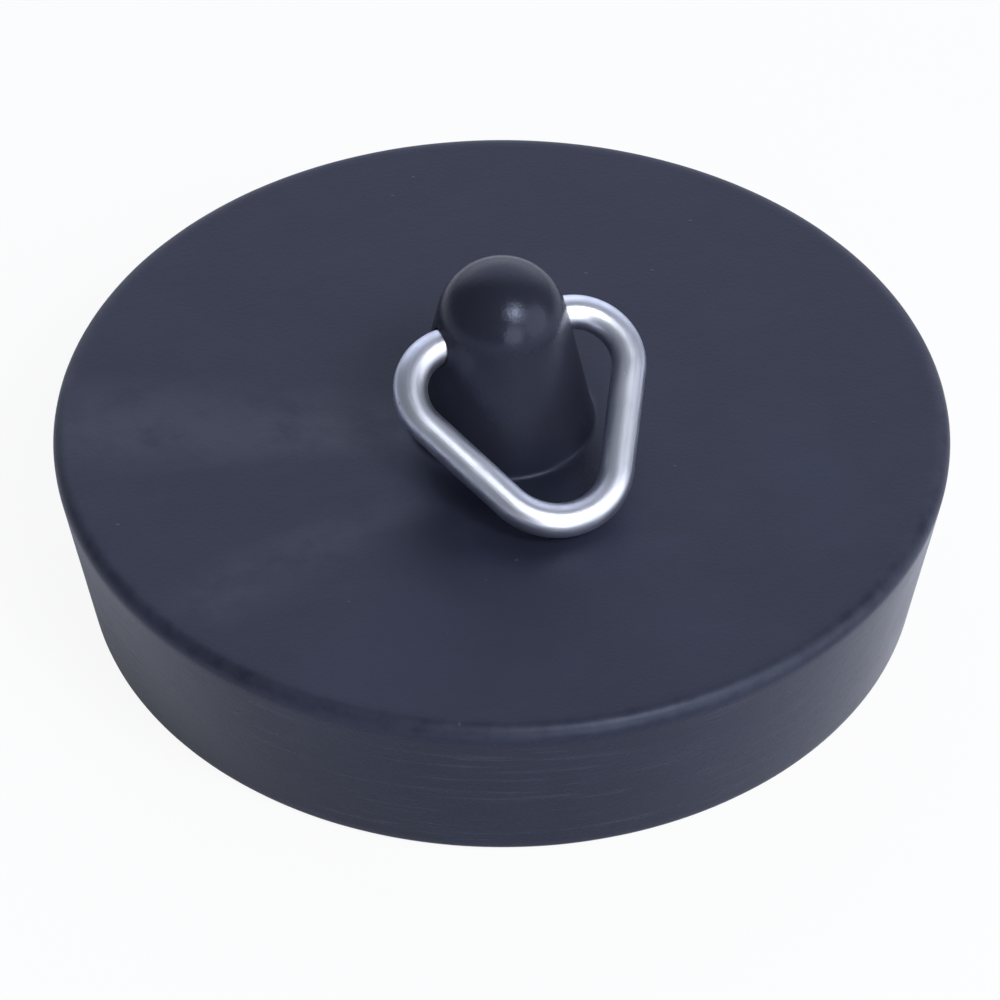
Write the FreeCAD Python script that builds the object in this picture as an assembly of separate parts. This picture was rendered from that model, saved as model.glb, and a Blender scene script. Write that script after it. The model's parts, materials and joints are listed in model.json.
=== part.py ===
import FreeCAD, Part
import math
import os

# Drain stopper: a tapered rubber plug with a domed post, and a wire triangle that swings in
# the post's cross hole. Millimetres, +Z up, origin at the middle of the underside.

# Disc
top_diameter = 48.0          # widest, over the rounded rim
disc_thickness = 10.2
wall_taper = 10.0            # degrees from upright, narrower below
rim_round = 0.8
foot_round = 0.4

# Hollow in the underside
foot_ring_width = 5.0        # flat ring left around the hollow
hollow_depth = 0.8
hollow_wall_angle = 45.0     # degrees from flat
hollow_round = 0.5

# Post
pivot_height = 6.2           # cross hole above the disc's top
dome_rise = 0.6              # middle of the dome above the cross hole
dome_radius = 3.5
post_draft = 11.7            # degrees from upright, wider below
post_foot_round = 0.3

# Wire triangle
wire_diameter = 1.85
leg_half_angle = 27.4        # degrees, each leg from the middle line
apex_bend_radius = 3.45      # of the wire's axis
corner_bend_radius = 2.78    # of the wire's axis
bend_inset = 0.4             # the corner bends start this far inside the post's flank
end_gap = 1.0                # between the two wire ends inside the post

# Clearances
pivot_clearance = 0.1        # radial, wire in the cross hole; leaves room for the start of the bends
rest_gap = 0.1               # between the wire and the disc when the triangle lies down

# Derived sizes of the post
draft = math.radians(post_draft)
pivot_z = disc_thickness + pivot_height
wire_radius = wire_diameter / 2
hole_radius = wire_radius + pivot_clearance
dome_z = pivot_z + dome_rise
post_half_width = dome_radius / math.cos(draft) + dome_rise * math.tan(draft)

# Derived sizes of the triangle: its width follows from the post's, its tilt from the disc it rests on
half_angle = math.radians(leg_half_angle)
corner_reach = corner_bend_radius * math.tan((math.pi / 2 + half_angle) / 2)
sharp_corner = post_half_width - bend_inset + corner_reach
sharp_apex = sharp_corner / math.tan(half_angle)
pivot_to_apex = sharp_apex - apex_bend_radius * (1 / math.sin(half_angle) - 1)
apex_drop = pivot_height - wire_radius - rest_gap
rest_tilt = math.degrees(math.asin(apex_drop / pivot_to_apex))


def at(x, z):
    return FreeCAD.Vector(x, 0, z)


def toward(start, end, distance):
    direction = end.sub(start)
    direction.normalize()
    return start.add(direction.multiply(distance))


def rounded_path(corners):
    """Edges of a path through (point, radius) corners; the first and last corner stay sharp."""
    edges = []
    last = corners[0][0]
    for before, here, after in zip(corners, corners[1:], corners[2:]):
        corner, radius = here
        opening = before[0].sub(corner).getAngle(after[0].sub(corner))
        reach = radius / math.tan(opening / 2)
        entry = toward(corner, before[0], reach)
        leaving = toward(corner, after[0], reach)
        chord_middle = entry.add(leaving).multiply(0.5)
        centre = toward(corner, chord_middle, radius / math.sin(opening / 2))
        crown = toward(centre, corner, radius)
        edges.append(Part.LineSegment(last, entry).toShape())
        edges.append(Part.Arc(entry, crown, leaving).toShape())
        last = leaving
    edges.append(Part.LineSegment(last, corners[-1][0]).toShape())
    return edges


def plug_outline():
    """Half section of the plug, from the axis in the hollow, out and up to the top of the dome."""
    rim_reach = rim_round / math.tan(math.radians(90 - wall_taper) / 2)
    rim_corner = top_diameter / 2 - rim_round + rim_reach
    foot_corner = rim_corner - disc_thickness * math.tan(math.radians(wall_taper))
    hollow_edge = foot_corner - foot_ring_width
    hollow_floor_edge = hollow_edge - hollow_depth / math.tan(math.radians(hollow_wall_angle))
    post_foot = post_half_width + pivot_height * math.tan(draft)
    hollow_middle = at(0, hollow_depth)

    def on_dome(angle):
        return at(dome_radius * math.cos(angle), dome_z + dome_radius * math.sin(angle))

    edges = rounded_path([
        (hollow_middle, 0),
        (at(hollow_floor_edge, hollow_depth), hollow_round),
        (at(hollow_edge, 0), hollow_round),
        (at(foot_corner, 0), foot_round),
        (at(rim_corner, disc_thickness), rim_round),
        (at(post_foot, disc_thickness), post_foot_round),
        (on_dome(draft), 0),
    ])
    dome_top = at(0, dome_z + dome_radius)
    edges.append(Part.Arc(on_dome(draft), on_dome((draft + math.pi / 2) / 2), dome_top).toShape())
    edges.append(Part.LineSegment(dome_top, hollow_middle).toShape())
    return Part.Wire(edges)


def make_plug_body():
    section = Part.Face(plug_outline())
    body = section.revolve(at(0, 0), FreeCAD.Vector(0, 0, 1), 360)
    hole_start = FreeCAD.Vector(-top_diameter / 2, 0, pivot_z)
    cross_hole = Part.makeCylinder(hole_radius, top_diameter, hole_start, FreeCAD.Vector(1, 0, 0))
    return body.cut(cross_hole)


def make_wire_triangle():
    """The bent wire, drawn upright with its pivot at the origin, then laid down on the disc."""
    wire_end = at(end_gap / 2, 0)
    path = Part.Wire(rounded_path([
        (wire_end, 0),
        (at(sharp_corner, 0), corner_bend_radius),
        (at(0, sharp_apex), apex_bend_radius),
        (at(-sharp_corner, 0), corner_bend_radius),
        (at(-end_gap / 2, 0), 0),
    ]))
    cross_section = Part.Circle(wire_end, FreeCAD.Vector(1, 0, 0), wire_radius).toShape()
    wire = path.makePipeShell([Part.Wire(cross_section)], True, False)
    wire.rotate(at(0, 0), FreeCAD.Vector(1, 0, 0), 90 + rest_tilt)
    wire.translate(at(0, pivot_z))
    return wire


os.makedirs("parts", exist_ok=True)
make_plug_body().exportStep("parts/plug_body.step")
make_wire_triangle().exportStep("parts/wire_triangle.step")
print("pivot height above the underside", round(pivot_z, 3))
print("pivot to apex", round(pivot_to_apex, 3), "rest tilt in degrees", round(rest_tilt, 3))
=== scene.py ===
import json
import math
import bpy
from mathutils import Matrix, Vector


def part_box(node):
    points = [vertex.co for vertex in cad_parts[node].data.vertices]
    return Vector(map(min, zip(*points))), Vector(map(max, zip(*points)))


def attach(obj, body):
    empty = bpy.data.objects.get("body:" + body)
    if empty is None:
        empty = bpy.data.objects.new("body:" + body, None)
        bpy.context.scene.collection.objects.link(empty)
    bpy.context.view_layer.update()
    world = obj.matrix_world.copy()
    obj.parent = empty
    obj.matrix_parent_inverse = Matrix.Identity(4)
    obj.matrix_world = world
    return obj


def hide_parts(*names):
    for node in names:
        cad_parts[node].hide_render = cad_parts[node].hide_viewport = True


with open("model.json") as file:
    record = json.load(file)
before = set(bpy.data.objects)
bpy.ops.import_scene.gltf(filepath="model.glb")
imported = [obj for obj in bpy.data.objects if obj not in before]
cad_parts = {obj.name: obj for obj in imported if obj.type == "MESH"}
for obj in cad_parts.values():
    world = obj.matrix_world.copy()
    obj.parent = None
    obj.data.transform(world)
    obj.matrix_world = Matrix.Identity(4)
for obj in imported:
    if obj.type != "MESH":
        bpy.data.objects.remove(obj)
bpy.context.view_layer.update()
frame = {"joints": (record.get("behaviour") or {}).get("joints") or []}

mm = 0.001
pivot = Vector(frame["joints"][0]["pos_m"])
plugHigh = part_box("plug_body")[1]
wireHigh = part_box("wire_triangle")[1]


class Field:                                 # a socket that can be used in sums
    def __init__(self, graph, socket):
        self.graph = graph
        self.socket = socket

    def out(self, name):                     # another output of the same node
        return Field(self.graph, self.socket.node.outputs[name])

    def calc(self, operation, first, second=None):
        return self.graph.add("ShaderNodeMath", {"operation": operation}, {0: first, 1: second})

    def __add__(self, other):
        return self.calc("ADD", self, other)

    def __radd__(self, other):
        return self.calc("ADD", other, self)

    def __sub__(self, other):
        return self.calc("SUBTRACT", self, other)

    def __rsub__(self, other):
        return self.calc("SUBTRACT", other, self)

    def __mul__(self, other):
        return self.calc("MULTIPLY", self, other)

    def __truediv__(self, other):
        return self.calc("DIVIDE", self, other)

    def __rtruediv__(self, other):
        return self.calc("DIVIDE", other, self)

    def __gt__(self, other):
        return self.calc("GREATER_THAN", self, other)

    def rise(self, low, high):               # 0 before low, 1 after high, smooth between
        return self.graph.add("ShaderNodeMapRange", {"interpolation_type": "SMOOTHSTEP"},
                              {"Value": self, "From Min": low, "From Max": high})

    def riseFrom(self, level, edges):        # the same, with its edges given from a level
        return self.rise(level + edges[0], level + edges[1])


class Graph:                                 # makes the nodes of a shader or a modifier
    def __init__(self, tree):
        self.tree = tree

    def add(self, kind, settings=None, sockets=None, out=0):
        node = self.tree.nodes.new(kind)
        for name, value in (settings or {}).items():
            setattr(node, name, value)
        for key, value in (sockets or {}).items():
            if isinstance(value, Field):
                self.tree.links.new(value.socket, node.inputs[key])
            elif value is not None:
                node.inputs[key].default_value = value
        return Field(self, node.outputs[out]) if node.outputs else None

    def mix(self, factor, first, second):    # of two colours
        return self.add("ShaderNodeMix", {"data_type": "RGBA"}, {0: factor, 6: first, 7: second}, 2)

    def vector(self, operation, sockets, out=0):
        return self.add("ShaderNodeVectorMath", {"operation": operation}, sockets, out)

    def times(self, vector, factors):
        return self.vector("MULTIPLY", {0: vector, 1: factors})

    def noise(self, vector, scale, detail=2.0, roughness=0.5):
        return self.add("ShaderNodeTexNoise", None,
                        {"Vector": vector, "Scale": scale, "Detail": detail, "Roughness": roughness})


def newMaterial(name):
    material = bpy.data.materials.new(name)
    material.use_nodes = True
    material.node_tree.nodes.clear()
    return material, Graph(material.node_tree)


# rubber
rubberLook = {
    "deep": (0.0152, 0.0174, 0.0322, 1),     # clean rubber
    "bloom": (0.0245, 0.0280, 0.0525, 1),    # dry haze that rises to the surface
    "handled": (0.0165, 0.0180, 0.0290, 1),  # the post, rubbed by wire and fingers
    "paintedShade": (0.0040, 0.0065, 0.0170, 1),   # painted shade: a darker colour for the side wall
    "scuff": (0.044, 0.049, 0.072, 1),       # rubbed edge of the rim and marks on the wall
    "speck": (0.07, 0.07, 0.08, 1),          # dust and lime
    "smudge": (0.044, 0.049, 0.070, 1),      # dried film left by a wipe
    "paintedReflectionTint": (0.64, 0.72, 1.0, 1),           # blue tint painted on the rubber's reflections, standing in for bluish light
    "shine": 0.34,
    "roughness": 0.40,
    # where each part sets in and is full, in millimetres from the top, the cross hole or the radius
    "postEdge": (0.3, 3.2), "domeEdge": (-0.5, 2.0), "wallEdge": (-0.3, -1.2), "wallInner": (-4.0, -3.0),
    "topEdge": (-0.5, -0.1), "rimEdge": (-1.0, -0.35), "rimInner": (-1.1, -0.25),
    # what each mark adds to the roughness
    "hazeRough": 0.10, "grainRough": 0.10, "rubRough": 0.08, "domeRough": -0.18, "wallRough": -0.19,
    # how far each mark shows in the colour
    "cloudShare": 0.75, "smearShare": 0.25, "wipedShare": 0.5, "filmShare": 0.9, "paintedShadeShare": 0.4,
    "rubShare": 0.35, "rimShare": 0.45, "speckShare": 0.45,
    # haze taken off the post, rubbed away by handling, and painted shade that makes the post and the side
    # wall darker
    "postHazeOffAndShade": 0.8, "wallPaintedShade": 0.4,
    # marks to the millimetre
    "grainScale": 4.5, "cloudScale": 0.13, "filmScale": 0.35, "rimScale": 0.8, "speckScale": 0.55,
    "smearScale": (0.07, 0.6, 0.3), "smearTurn": math.radians(52), "ringScale": (0.12, 0.12, 2.6),
    # noise at which each mark sets in and is full
    "cloudLevel": (0.36, 0.70), "smearLevel": (0.50, 0.74), "filmLevel": (0.25, 0.65),
    "ringLevel": (0.52, 0.72), "rimLevel": (0.30, 0.62),
    # distance from its middle at which a speck sets in and is full, and the share of cells without one
    "speckSize": (0.075, 0.03), "speckless": 0.72,
    # bump, in parts of the grain's depth
    "grainDepth": 0.012 * mm, "cloudHeight": 3.0, "speckHeight": 1.5,
    # wiped marks on the top in millimetres: from, to, half width, film left or taken off
    "wipes": (
        ((-21.5, 8.5), (-6.5, 1.5), 5.0, 0.9),
        ((-19.5, -7.2), (-8.0, -3.7), 3.2, 0.6),
        ((-18.0, -0.5), (-10.0, -1.5), 4.2, -0.9),
    ),
}


def wipeMark(graph, place, start, end, width, strength):     # full along a line, fading to its sides
    start, end = Vector((*start, 0)), Vector((*end, 0))
    along = end - start
    fromStart = graph.vector("SUBTRACT", {0: graph.times(place, (1, 1, 0)), 1: start})
    share = graph.vector("DOT_PRODUCT", {0: fromStart, 1: along / along.length_squared}, "Value")
    share = graph.add("ShaderNodeClamp", None, {0: share})
    nearest = graph.vector("SCALE", {0: along, "Scale": share})
    gap = graph.vector("DISTANCE", {0: fromStart, 1: nearest}, "Value")
    return gap.rise(width, 0) * strength


def rubberMaterial(look, topZ, holeZ, radius):
    material, graph = newMaterial("mouldedRubber")
    topZ, holeZ, radius = topZ / mm, holeZ / mm, radius / mm
    place = graph.add("ShaderNodeTexCoord", None, None, "Object")
    inMm = graph.times(place, (1 / mm,) * 3)
    z = graph.add("ShaderNodeSeparateXYZ", None, {0: inMm}, "Z")
    r = graph.vector("LENGTH", {0: graph.times(inMm, (1, 1, 0))}, "Value")
    onPost = z.riseFrom(topZ, look["postEdge"])
    onDome = z.riseFrom(holeZ, look["domeEdge"])
    onWall = z.riseFrom(topZ, look["wallEdge"]) * r.riseFrom(radius, look["wallInner"])

    grain = graph.noise(inMm, look["grainScale"], 3.0, 0.6)
    cloud = graph.noise(inMm, look["cloudScale"], 4.0, 0.55)
    turned = graph.add("ShaderNodeMapping", None, {
        "Vector": inMm, "Rotation": (0, 0, look["smearTurn"]), "Scale": look["smearScale"]})
    smear = graph.noise(turned, 1.0, 3.0, 0.6).rise(*look["smearLevel"])
    wiped = sum(wipeMark(graph, inMm, *wipe) for wipe in look["wipes"])
    broken = graph.noise(inMm, look["filmScale"], 4.0, 0.6).rise(*look["filmLevel"])
    wiped = wiped * broken * z.riseFrom(topZ, look["topEdge"])
    film = wiped.calc("MAXIMUM", wiped, 0)
    haze = cloud.rise(*look["cloudLevel"]) * look["cloudShare"] + smear * look["smearShare"]
    haze = haze + wiped * look["wipedShare"]
    # less haze on the post, rubbed off by handling, and painted shade that darkens the post and the side
    # wall
    haze = haze * (1 - onPost * look["postHazeOffAndShade"] - onWall * look["wallPaintedShade"])
    rings = graph.noise(graph.times(inMm, look["ringScale"]), 1.0, 4.0, 0.65)
    rub = rings.rise(*look["ringLevel"]) * onWall
    rimWear = r.riseFrom(radius, look["rimInner"]) * z.riseFrom(topZ, look["rimEdge"])
    rimWear = rimWear * graph.noise(inMm, look["rimScale"], 4.0, 0.65).rise(*look["rimLevel"])
    cells = graph.add("ShaderNodeTexVoronoi", None, {"Vector": inMm, "Scale": look["speckScale"]})
    chosen = graph.add("ShaderNodeSeparateColor", None, {0: cells.out("Color")}) > look["speckless"]
    specks = cells.rise(*look["speckSize"]) * chosen * (1 - onPost)

    colour = graph.mix(onPost, look["deep"], look["handled"])
    colour = graph.mix(haze, colour, look["bloom"])
    colour = graph.mix(film * look["filmShare"], colour, look["smudge"])
    # painted shade: the side wall made darker
    colour = graph.mix(onWall * look["paintedShadeShare"], colour, look["paintedShade"])
    colour = graph.mix(rub * look["rubShare"] + rimWear * look["rimShare"], colour, look["scuff"])
    colour = graph.mix(specks * look["speckShare"], colour, look["speck"])
    rough = look["roughness"] + haze * look["hazeRough"] + (grain - 0.5) * look["grainRough"]
    rough = rough + rub * look["rubRough"] + onDome * look["domeRough"] + onWall * look["wallRough"]
    bump = graph.add("ShaderNodeBump", None, {
        "Strength": 1.0, "Distance": look["grainDepth"],
        "Height": grain + cloud * look["cloudHeight"] + specks * look["speckHeight"]})
    # the reflections take a painted blue tint that stands in for bluish light
    skin = graph.add("ShaderNodeBsdfPrincipled", None, {
        "Base Color": colour, "Roughness": rough, "Normal": bump, "IOR": 1.5,
        "Specular IOR Level": look["shine"], "Specular Tint": look["paintedReflectionTint"]})
    graph.add("ShaderNodeOutputMaterial", None, {"Surface": skin})
    return material


# plated wire
platingLook = {
    "bright": (0.71, 0.75, 0.87, 1),
    "dull": (0.50, 0.52, 0.59, 1),
    "stain": (0.30, 0.28, 0.26, 1),
    "roughness": 0.36,
    # what each mark adds to the roughness
    "patchRough": 0.10, "lineRough": 0.16, "pitRough": 0.25,
    # how far each mark shows in the colour
    "patchShare": 0.45, "lineShare": 0.3, "pitShare": 0.6,
    # drawing lines around and along the wire, and marks to the millimetre
    "lineScale": 2.4, "lineRound": 3.2, "lineAlong": 0.06, "patchScale": 0.55, "pitScale": 1.9,
    # noise at which the patches set in and are full
    "patchLevel": (0.46, 0.72),
    # distance from its middle at which a pit sets in and is full, and the share of cells without one
    "pitSize": (0.13, 0.05), "pitless": 0.8,
    # bump, in parts of the lines' depth
    "lineDepth": 0.004 * mm, "lineHeight": 2.0, "pitHeight": -2.0,
}


def platingMaterial(look):
    material, graph = newMaterial("platedWire")
    along = graph.add("ShaderNodeAttribute", {"attribute_name": "alongWire"}, None, "Fac") / mm
    around = graph.add("ShaderNodeAttribute", {"attribute_name": "roundWire"}, None, "Vector")
    drawn = graph.add("ShaderNodeCombineXYZ", None, {"Z": along * look["lineAlong"]})
    drawn = graph.vector("ADD", {0: graph.times(around, (look["lineRound"],) * 3), 1: drawn})
    lines = graph.noise(drawn, look["lineScale"], 4.0, 0.65)
    place = graph.add("ShaderNodeTexCoord", None, None, "Object")
    inMm = graph.times(place, (1 / mm,) * 3)
    patches = graph.noise(inMm, look["patchScale"], 3.0, 0.6).rise(*look["patchLevel"])
    pits = graph.add("ShaderNodeTexVoronoi", None, {"Vector": inMm, "Scale": look["pitScale"]})
    chosen = graph.add("ShaderNodeSeparateColor", None, {0: pits.out("Color")}) > look["pitless"]
    pitted = pits.rise(*look["pitSize"]) * chosen

    worn = patches * look["patchShare"] + (lines - 0.5) * look["lineShare"]
    colour = graph.mix(worn, look["bright"], look["dull"])
    colour = graph.mix(pitted * look["pitShare"], colour, look["stain"])
    rough = look["roughness"] + patches * look["patchRough"] + (lines - 0.5) * look["lineRough"]
    rough = rough + pitted * look["pitRough"]
    bump = graph.add("ShaderNodeBump", None, {
        "Strength": 1.0, "Distance": look["lineDepth"],
        "Height": lines * look["lineHeight"] + pitted * look["pitHeight"]})
    skin = graph.add("ShaderNodeBsdfPrincipled", None, {
        "Base Color": colour, "Roughness": rough, "Normal": bump, "Metallic": 1.0})
    graph.add("ShaderNodeOutputMaterial", None, {"Surface": skin})
    return material


# shared steps of the two pieces
def sketchLine(name, corners):               # corners as (place, bend radius)
    mesh = bpy.data.meshes.new(name)
    mesh.from_pydata([place for place, bend in corners], [(i, i + 1) for i in range(len(corners) - 1)], [])
    bends = mesh.attributes.new("bend", "FLOAT", "POINT")
    bends.data.foreach_set("value", [bend for place, bend in corners])
    piece = bpy.data.objects.new(name, mesh)
    bpy.context.collection.objects.link(piece)
    return piece


def modifierTree(name, inputs):
    tree = bpy.data.node_groups.new(name, "GeometryNodeTree")
    tree.interface.new_socket("Sketch", in_out="INPUT", socket_type="NodeSocketGeometry")
    for label, kind in inputs.items():
        tree.interface.new_socket(label, in_out="INPUT", socket_type="NodeSocket" + kind)
    tree.interface.new_socket("Mesh", in_out="OUTPUT", socket_type="NodeSocketGeometry")
    graph = Graph(tree)
    return graph, graph.add("NodeGroupInput")


def roundedPath(graph, sketch, step):        # the sketch with its corners bent to their radius
    line = graph.add("GeometryNodeMeshToCurve", None, {"Mesh": sketch})
    bend = graph.add("GeometryNodeInputNamedAttribute", {"data_type": "FLOAT"}, {"Name": "bend"})
    points = bend / step * 1.6 + 4           # enough for a right angle at this step
    path = graph.add("GeometryNodeFilletCurve", {"mode": "POLY"},
                     {"Curve": line, "Radius": bend, "Count": points})
    place = graph.add("GeometryNodeInputPosition")
    index = graph.add("GeometryNodeInputIndex")
    following = graph.add("GeometryNodeFieldAtIndex", {"data_type": "FLOAT_VECTOR"},
                          {"Value": place, "Index": index + 1})
    gap = graph.vector("DISTANCE", {0: place, 1: following}, "Value")
    return graph.add("GeometryNodeSubdivideCurve", None, {"Curve": path, "Cuts": gap / step})


def finishTree(graph, mesh, relief, reliefSize, finish):
    # slight unevenness, always inwards so that the outer size holds
    place = graph.add("GeometryNodeInputPosition")
    uneven = graph.noise(place, 1 / reliefSize, 2.0, 0.5)
    normal = graph.add("GeometryNodeInputNormal")
    inwards = graph.vector("SCALE", {0: normal, "Scale": uneven * relief * -1})
    mesh = graph.add("GeometryNodeSetPosition", None, {"Geometry": mesh, "Offset": inwards})
    mesh = graph.add("GeometryNodeSetShadeSmooth", {"domain": "FACE"}, {"Geometry": mesh})
    crease = graph.add("GeometryNodeInputMeshEdgeAngle") > math.radians(40)      # kept sharp
    mesh = graph.add("GeometryNodeSetShadeSmooth", {"domain": "EDGE"},
                     {"Geometry": mesh, "Selection": crease, "Shade Smooth": False})
    mesh = graph.add("GeometryNodeRealizeInstances", None, {"Geometry": mesh})
    mesh = graph.add("GeometryNodeSetMaterial", None, {"Geometry": mesh, "Material": finish})
    graph.add("NodeGroupOutput", None, {"Mesh": mesh})


def runTree(piece, graph, values):
    modifier = piece.modifiers.new(graph.tree.name, "NODES")
    modifier.node_group = graph.tree
    for socket in graph.tree.interface.items_tree:
        if socket.in_out == "INPUT" and socket.name in values:
            modifier[socket.identifier] = values[socket.name]
    scene = bpy.context.evaluated_depsgraph_get()
    mesh = bpy.data.meshes.new_from_object(
        piece.evaluated_get(scene), preserve_all_data_layers=True, depsgraph=scene)
    piece.modifiers.clear()
    piece.data = mesh
    mesh.calc_loop_triangles()
    print(piece.name, len(mesh.loop_triangles), "triangles")


# plug body
plugForm = {
    "discThickness": 10.2 * mm,
    "wallTaper": math.radians(10),           # from upright, narrower below
    "rimRound": 0.8 * mm,
    "footRound": 0.4 * mm,
    "footRing": 5.0 * mm,                    # flat ring left around the hollow
    "hollowDepth": 0.8 * mm,
    "hollowSlope": math.radians(45),
    "hollowRound": 0.5 * mm,
    "domeRise": 0.6 * mm,                    # middle of the dome above the cross hole
    "postDraft": math.radians(11.7),
    "postFootRound": 0.3 * mm,
    "holeClearance": 0.1 * mm,
    "coreRadius": 1 * mm,                    # of the circle that the section is swept along
    "turns": 256,
    "holeSides": 64,
    "step": 0.35 * mm,
    "relief": 0.03 * mm,
    "reliefSize": 5.0 * mm,
}
wireRadius = wireHigh.z - pivot.z            # the wire's pivot ends are its highest points
plugRadius = plugHigh.x
domeRadius = plugHigh.z - pivot.z - plugForm["domeRise"]
postAtDome = domeRadius / math.cos(plugForm["postDraft"])
lean = math.tan(plugForm["postDraft"])


def plugSection(form):
    top = form["discThickness"]
    rimReach = form["rimRound"] / math.tan((math.pi / 2 - form["wallTaper"]) / 2)
    rim = plugRadius - form["rimRound"] + rimReach
    foot = rim - top * math.tan(form["wallTaper"])
    hollow = foot - form["footRing"]
    hollowFloor = hollow - form["hollowDepth"] / math.tan(form["hollowSlope"])
    return [
        ((0, 0, form["hollowDepth"]), 0),
        ((hollowFloor, 0, form["hollowDepth"]), form["hollowRound"]),
        ((hollow, 0, 0), form["hollowRound"]),
        ((foot, 0, 0), form["footRound"]),
        ((rim, 0, top), form["rimRound"]),
        ((postAtDome + (plugHigh.z - domeRadius - top) * lean, 0, top), form["postFootRound"]),
        ((postAtDome - domeRadius * lean, 0, plugHigh.z), domeRadius),
        ((0, 0, plugHigh.z), 0),
    ]


def latheTree():
    graph, given = modifierTree("plugLathe", {
        "Turns": "Int", "Step": "Float", "Core Radius": "Float", "Hole Radius": "Float",
        "Hole Height": "Float", "Hole Length": "Float", "Hole Sides": "Int",
        "Relief": "Float", "Relief Size": "Float", "Finish": "Material"})
    core = given.out("Core Radius")
    section = roundedPath(graph, given, given.out("Step"))
    shift = graph.add("ShaderNodeCombineXYZ", None, {"X": core * -1})
    section = graph.add("GeometryNodeTransform", None, {
        "Geometry": section, "Translation": shift, "Rotation": (math.pi / 2, 0, 0)})
    ring = graph.add("GeometryNodeCurvePrimitiveCircle", {"mode": "RADIUS"},
                     {"Resolution": given.out("Turns"), "Radius": core})
    body = graph.add("GeometryNodeCurveToMesh", None, {"Curve": ring, "Profile Curve": section})
    # the points that meet on the axis become one
    body = graph.add("GeometryNodeMergeByDistance", None, {"Geometry": body, "Distance": 0.002 * mm})
    drill = graph.add("GeometryNodeMeshCylinder", None, {
        "Vertices": given.out("Hole Sides"), "Radius": given.out("Hole Radius"),
        "Depth": given.out("Hole Length")})
    drill = graph.add("GeometryNodeTransform", None, {
        "Geometry": drill, "Rotation": (0, math.pi / 2, 0),
        "Translation": graph.add("ShaderNodeCombineXYZ", None, {"Z": given.out("Hole Height")})})
    body = graph.add("GeometryNodeMeshBoolean", {"operation": "DIFFERENCE", "solver": "EXACT"},
                     {"Mesh 1": body, "Mesh 2": drill})
    finishTree(graph, body, given.out("Relief"), given.out("Relief Size"), given.out("Finish"))
    return graph


rubber = rubberMaterial(rubberLook, plugForm["discThickness"], pivot.z, plugRadius)
plugBody = sketchLine("plugBody", plugSection(plugForm))
runTree(plugBody, latheTree(), {
    "Turns": plugForm["turns"], "Step": plugForm["step"], "Core Radius": plugForm["coreRadius"],
    "Hole Radius": wireRadius + plugForm["holeClearance"], "Hole Height": pivot.z,
    "Hole Length": plugRadius, "Hole Sides": plugForm["holeSides"],
    "Relief": plugForm["relief"], "Relief Size": plugForm["reliefSize"], "Finish": rubber})
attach(plugBody, "plug")
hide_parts("plug_body")

# wire triangle
wireForm = {
    "legHalfAngle": math.radians(27.4),
    "apexBend": 3.45 * mm,                   # of the wire's middle line
    "cornerBend": 2.78 * mm,
    "bendInset": 0.4 * mm,                   # the corner bends start inside the post
    "endGap": 1.0 * mm,
    "restGap": 0.1 * mm,                     # over the disc, lying down
    "sides": 32,
    "step": 0.25 * mm,
    "dents": 0.012 * mm,
    "dentSize": 1.6 * mm,
}


def wireCorners(form):
    half = form["legHalfAngle"]
    postAtPivot = postAtDome + plugForm["domeRise"] * lean
    across = postAtPivot - form["bendInset"] + form["cornerBend"] * math.tan((math.pi / 2 + half) / 2)
    reach = across / math.tan(half)
    apex = reach - form["apexBend"] * (1 / math.sin(half) - 1)
    drop = pivot.z - plugForm["discThickness"] - wireRadius - form["restGap"]
    tilt = math.asin(drop / apex)
    down = Vector((0, -math.cos(tilt), -math.sin(tilt)))
    end = Vector((form["endGap"] / 2, 0, 0))
    side = Vector((across, 0, 0))
    corners = [(end, 0), (side, form["cornerBend"]), (down * reach, form["apexBend"]),
               (-side, form["cornerBend"]), (-end, 0)]
    return [(pivot + place, bend) for place, bend in corners]


def wireTree():
    graph, given = modifierTree("bentWire", {
        "Step": "Float", "Wire Radius": "Float", "Sides": "Int",
        "Dents": "Float", "Dent Size": "Float", "Finish": "Material"})
    path = roundedPath(graph, given, given.out("Step"))
    along = graph.add("GeometryNodeSplineParameter", None, None, "Length")
    path = graph.add("GeometryNodeStoreNamedAttribute", {"data_type": "FLOAT", "domain": "POINT"},
                     {"Geometry": path, "Name": "alongWire", "Value": along})
    ring = graph.add("GeometryNodeCurvePrimitiveCircle", {"mode": "RADIUS"},
                     {"Resolution": given.out("Sides"), "Radius": given.out("Wire Radius")})
    around = graph.vector("NORMALIZE", {0: graph.add("GeometryNodeInputPosition")})
    ring = graph.add("GeometryNodeStoreNamedAttribute", {"data_type": "FLOAT_VECTOR", "domain": "POINT"},
                     {"Geometry": ring, "Name": "roundWire", "Value": around})
    wire = graph.add("GeometryNodeCurveToMesh", None,
                     {"Curve": path, "Profile Curve": ring, "Fill Caps": True})
    finishTree(graph, wire, given.out("Dents"), given.out("Dent Size"), given.out("Finish"))
    return graph


wireTriangle = sketchLine("wireTriangle", wireCorners(wireForm))
runTree(wireTriangle, wireTree(), {
    "Step": wireForm["step"], "Wire Radius": wireRadius, "Sides": wireForm["sides"],
    "Dents": wireForm["dents"], "Dent Size": wireForm["dentSize"],
    "Finish": platingMaterial(platingLook)})
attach(wireTriangle, "triangle")
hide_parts("wire_triangle")

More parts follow.
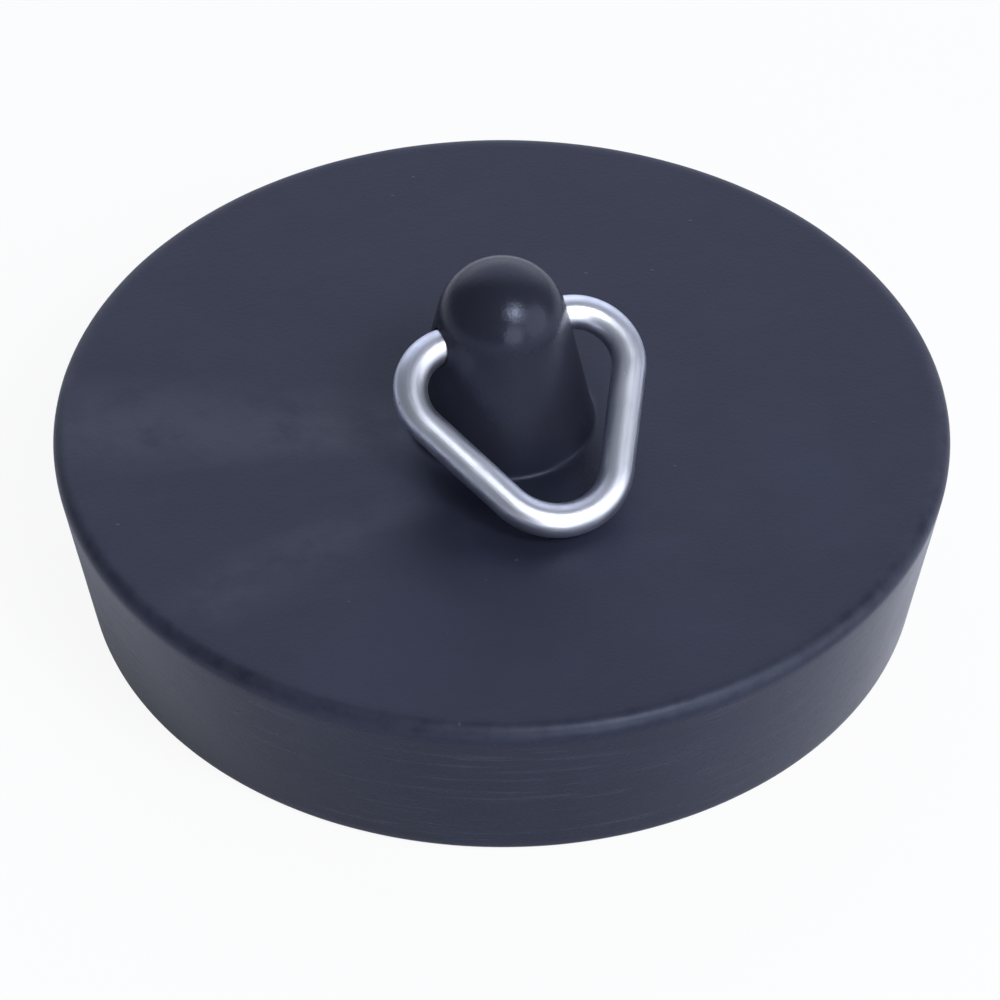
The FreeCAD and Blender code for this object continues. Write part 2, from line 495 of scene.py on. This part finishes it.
# studio
studio = {
    "azimuth": math.radians(-23), "elevation": math.radians(42.33),
    "distance": 350 * mm, "lens": 233.0, "sensorWidth": 36.0,
    "aimHeight": 4.23 * mm, "aimRight": -0.095 * mm,
    "floorSize": 8.0, "floorGap": 0.02 * mm, "floorColour": (0.84, 0.87, 0.98, 1), "floorGlow": 0.92,
    "reflectShare": 0.12,                    # of the white background that reflections show
    "roomTint": (0.91, 0.96, 1.13, 1), "roomLevel": 0.11,
    "wallLevel": 1.2,                        # paler wall of the dim room, behind the object
    "wallFrom": (0, 0.94, 0.34),             # right, away and up, as seen by the camera
    "wallEdge": (0.55, 0.95),                # where it fades out and where it is full
    # lamps, all at one distance: degrees to the right of the camera, degrees up, width, watts
    "lampDistance": 0.60,
    "lamps": {
        "keySoftbox": (36, 50, 0.34, 1.5),
        "keyBulb": (37, 51, 0.13, 0.6),      # bright middle of the key
        "sideSoftbox": (68, 18, 0.56, 1.4),
        "lowSoftbox": (22, 15, 0.34, 0.90),
    },
}
turn = Matrix.Rotation(studio["azimuth"], 3, "Z")


def seesWhite(graph):                        # how far a ray shows the white background itself
    path = graph.add("ShaderNodeLightPath")
    shown = path.out("Is Camera Ray") + path.out("Is Transmission Ray")
    return shown.calc("MINIMUM", shown + path.out("Is Glossy Ray") * studio["reflectShare"], 1)


def addLamp(name, across, rise, size, power):
    lamp = bpy.data.lights.new(name, "AREA")
    lamp.shape = "DISK"
    lamp.size = size
    lamp.energy = power
    holder = bpy.data.objects.new(name, lamp)
    bpy.context.collection.objects.link(holder)
    holder.visible_camera = False
    flat = Matrix.Rotation(math.radians(across), 3, "Z") @ Vector((0, -math.cos(math.radians(rise)), 0))
    away = turn @ (flat + Vector((0, 0, math.sin(math.radians(rise)))))
    holder.location = away * studio["lampDistance"]
    holder.rotation_euler = away.to_track_quat("Z", "Y").to_euler()


floorMesh = bpy.data.meshes.new("floor")
half = studio["floorSize"] / 2
corners = [(-half, -half, 0), (half, -half, 0), (half, half, 0), (-half, half, 0)]
floorMesh.from_pydata(corners, [], [(0, 1, 2, 3)])
floor = bpy.data.objects.new("floor", floorMesh)
floor.location.z = -studio["floorGap"]
bpy.context.collection.objects.link(floor)
paper, graph = newMaterial("paleFloor")
white = graph.add("ShaderNodeBsdfDiffuse", None, {"Color": studio["floorColour"]})
glow = graph.add("ShaderNodeEmission", None, {"Color": (1, 1, 1, 1), "Strength": 1})
shown = seesWhite(graph) * studio["floorGlow"]
shade = graph.add("ShaderNodeMixShader", None, {0: shown, 1: white, 2: glow})
graph.add("ShaderNodeOutputMaterial", None, {"Surface": shade})
floorMesh.materials.append(paper)

world = bpy.data.worlds.new("studioWhite")
world.use_nodes = True
world.node_tree.nodes.clear()
graph = Graph(world.node_tree)
direction = graph.add("ShaderNodeTexCoord", None, None, "Generated")
facing = graph.vector("DOT_PRODUCT", {0: direction, 1: turn @ Vector(studio["wallFrom"])}, "Value")
room = studio["roomLevel"] + facing.rise(*studio["wallEdge"]) * studio["wallLevel"]
lit = graph.add("ShaderNodeBackground", None, {"Color": studio["roomTint"], "Strength": room})
white = graph.add("ShaderNodeBackground", None, {"Color": (1, 1, 1, 1), "Strength": 1})
sky = graph.add("ShaderNodeMixShader", None, {0: seesWhite(graph), 1: lit, 2: white})
graph.add("ShaderNodeOutputWorld", None, {"Surface": sky})
bpy.context.scene.world = world

for name, lamp in studio["lamps"].items():
    addLamp(name, *lamp)

lens = bpy.data.cameras.new("photoCamera")
lens.sensor_width = studio["sensorWidth"]
lens.lens = studio["lens"]
lens.clip_start = 10 * mm
lens.clip_end = 100
camera = bpy.data.objects.new("photoCamera", lens)
bpy.context.collection.objects.link(camera)
back = turn @ Vector((0, -math.cos(studio["elevation"]), math.sin(studio["elevation"])))
aim = turn @ Vector((studio["aimRight"], 0, studio["aimHeight"]))
camera.location = aim + back * studio["distance"]
camera.rotation_euler = back.to_track_quat("Z", "Y").to_euler()
bpy.context.scene.camera = camera
bpy.context.scene.view_settings.view_transform = "Standard"
print("studio and camera set")
